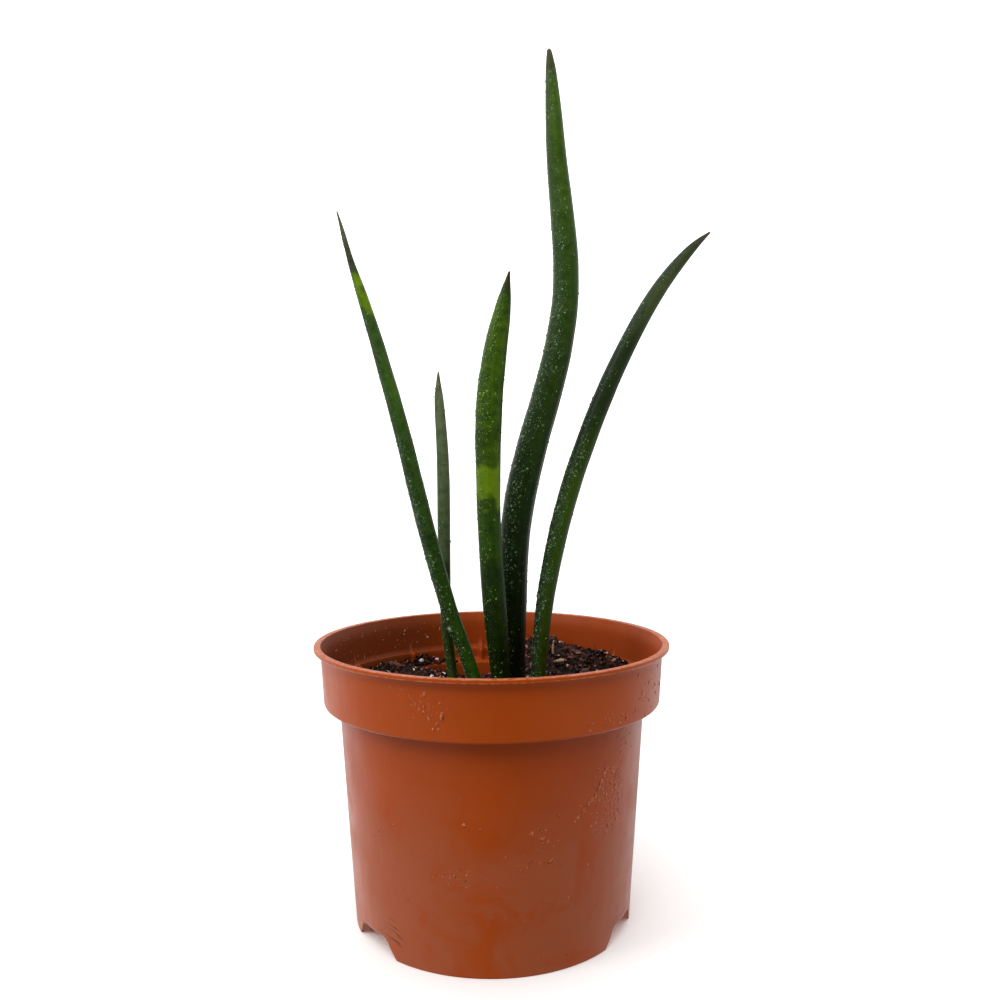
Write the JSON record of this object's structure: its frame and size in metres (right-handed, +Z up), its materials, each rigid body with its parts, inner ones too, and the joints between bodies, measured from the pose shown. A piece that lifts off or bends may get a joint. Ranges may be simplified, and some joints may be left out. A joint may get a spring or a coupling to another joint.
{
  "type": "potted snake plant",
  "caption": "Small cylindrical-leaved snake plant rooted in potting mix, in a tapered terracotta-coloured plastic nursery pot with a collar and notched foot.",
  "frame": {"origin": "middle of the object's footprint box, on the ground; the pot's axis is 8.4 mm towards -X of it, because one leaf reaches past the rim", "axes": "+Z up along the pot's axis; the picture's front faces -Y; +X to the right of that front"},
  "size_m": [0.1367, 0.12, 0.2946],
  "materials": {
    "pot_plastic": "satin terracotta-coloured plastic",
    "potting_mix": "matte bark compost",
    "leaf_dark": "satin waxy leaf",
    "leaf_bright": "satin waxy leaf",
    "rhizome": "matte",
    "root": "matte",
    "bark": "matte",
    "pale_wood": "matte",
    "perlite": "matte"
  },
  "bodies": {
    "root": {"pot": "pot_plastic", "potting_mix": "potting_mix", "leaf_left_outer": "leaf_dark", "leaf_left_small": "leaf_dark", "leaf_centre_front": "leaf_bright", "leaf_centre_tall": "leaf_dark", "leaf_right": "leaf_dark", "rhizome": "rhizome", "root_1": "root", "root_2": "root", "root_3": "root", "root_4": "root", "root_5": "root", "root_6": "root", "root_7": "root", "bark_chip_1": "bark", "bark_chip_2": "bark", "bark_chip_3": "bark", "bark_chip_4": "bark", "bark_chip_5": "bark", "wood_sliver": "pale_wood", "perlite_1": "perlite", "perlite_2": "perlite", "perlite_3": "perlite", "perlite_4": "perlite", "perlite_5": "perlite", "perlite_6": "perlite"}
  },
  "joints": []
}
